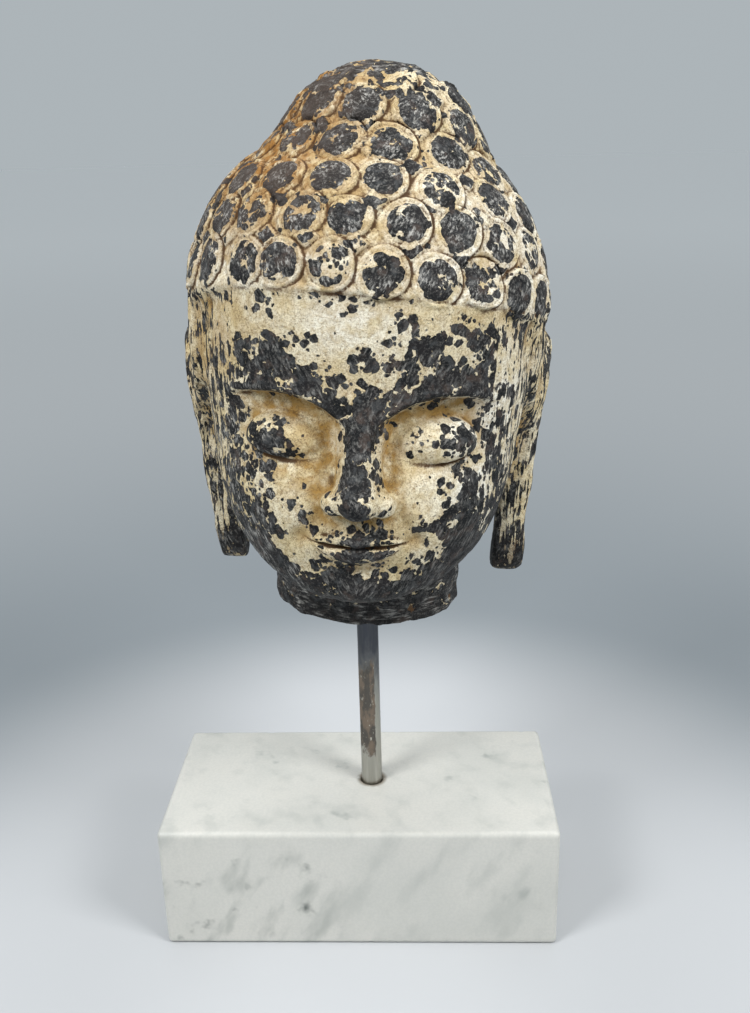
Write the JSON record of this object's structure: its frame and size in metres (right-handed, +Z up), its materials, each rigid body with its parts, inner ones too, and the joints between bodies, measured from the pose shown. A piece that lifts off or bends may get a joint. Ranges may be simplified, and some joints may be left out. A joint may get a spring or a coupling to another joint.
{
  "type": "stone buddha head",
  "caption": "Carved stone head with rows of disc-shaped curls, a topknot and long ears, held up by a steel rod in a plain marble block.",
  "frame": {"origin": "centre of the marble block's flat underside, on the surface it stands on", "axes": "+Z up along the rod, the face looks towards -Y, +X to the right of a viewer who faces it"},
  "size_m": [0.223, 0.2064, 0.4695],
  "materials": {
    "painted_stone": "matte",
    "steel": "satin",
    "marble": "satin"
  },
  "bodies": {
    "root": {"marble_block": "marble", "steel_rod": "steel", "buddha_head": "painted_stone"}
  },
  "joints": []
}
